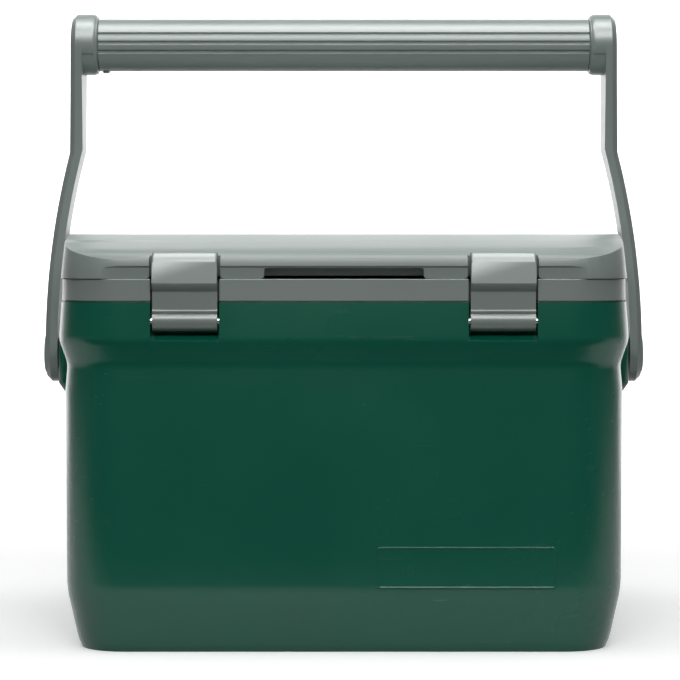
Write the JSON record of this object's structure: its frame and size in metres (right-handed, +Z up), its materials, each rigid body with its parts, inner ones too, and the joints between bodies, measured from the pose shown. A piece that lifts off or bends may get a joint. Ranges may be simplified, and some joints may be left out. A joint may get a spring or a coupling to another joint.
{
  "type": "picnic cooler chest",
  "caption": "Hard-sided picnic cooler chest with a crowned hinged lid, front latches, a foam-filled wall and an upright bail handle with a ribbed grip.",
  "frame": {"origin": "centre of the base, on the surface that it stands on", "axes": "+Z up, +X to the right seen from the front, the latches face -Y"},
  "size_m": [0.4172, 0.2937, 0.4271],
  "materials": {
    "green_shell": "smooth semi-gloss moulded",
    "grey_plastic": "fine-grained satin moulded",
    "white_liner": "smooth moulded",
    "foam": "foamed in place",
    "seal": "soft",
    "steel": "plated",
    "brass": "turned",
    "white_nylon": "moulded"
  },
  "bodies": {
    "chest": {"blank_badge": "green_shell", "body_foam": "foam", "hinge_leaf_body_left": "grey_plastic", "hinge_leaf_body_right": "grey_plastic", "hinge_pin_left": "steel", "hinge_pin_right": "steel", "hinge_screws_body": "steel", "inner_liner": "white_liner", "latch_pin_left": "steel", "latch_pin_right": "steel", "outer_shell": "green_shell", "rim_band": "grey_plastic", "shoulder_bolt_left": "steel", "shoulder_bolt_right": "steel", "threaded_insert_left": "brass", "threaded_insert_right": "brass", "thrust_washer_left": "white_nylon", "thrust_washer_right": "white_nylon"},
    "lid": {"lid_outer": "grey_plastic", "lid_inner_panel": "grey_plastic", "lid_foam": "foam", "lid_gasket": "seal", "hinge_leaf_lid_left": "grey_plastic", "hinge_leaf_lid_right": "grey_plastic", "hinge_screws_lid": "steel"},
    "handle": {"handle_arm_left": "grey_plastic", "handle_arm_right": "grey_plastic", "grip_sleeve": "grey_plastic", "grip_collar_left": "grey_plastic", "grip_collar_right": "grey_plastic", "hub_cap_left": "grey_plastic", "hub_cap_right": "grey_plastic", "pivot_bush_left": "white_nylon", "pivot_bush_right": "white_nylon", "grip_core_tube": "steel", "grip_screw": "steel"},
    "latch_left": {"latch_left": "grey_plastic"},
    "latch_right": {"latch_right": "grey_plastic"}
  },
  "joints": [
    {"name": "handle_swing", "type": "hinge", "parent": "chest", "child": "handle", "pos_m": [0, 0, 0.1906], "axis": [1, 0, 0], "range_deg": [-120, 120]},
    {"name": "lid_hinge", "type": "hinge", "parent": "chest", "child": "lid", "pos_m": [0, 0.1446, 0.24], "axis": [-1, 0, 0], "range_deg": [0, 15]},
    {"name": "latch_left_turn", "type": "hinge", "parent": "chest", "child": "latch_left", "pos_m": [-0.103, -0.1345, 0.2168], "axis": [1, 0, 0], "range_deg": [0, 120]},
    {"name": "latch_right_turn", "type": "hinge", "parent": "chest", "child": "latch_right", "pos_m": [0.103, -0.1345, 0.2168], "axis": [1, 0, 0], "range_deg": [0, 120]}
  ]
}
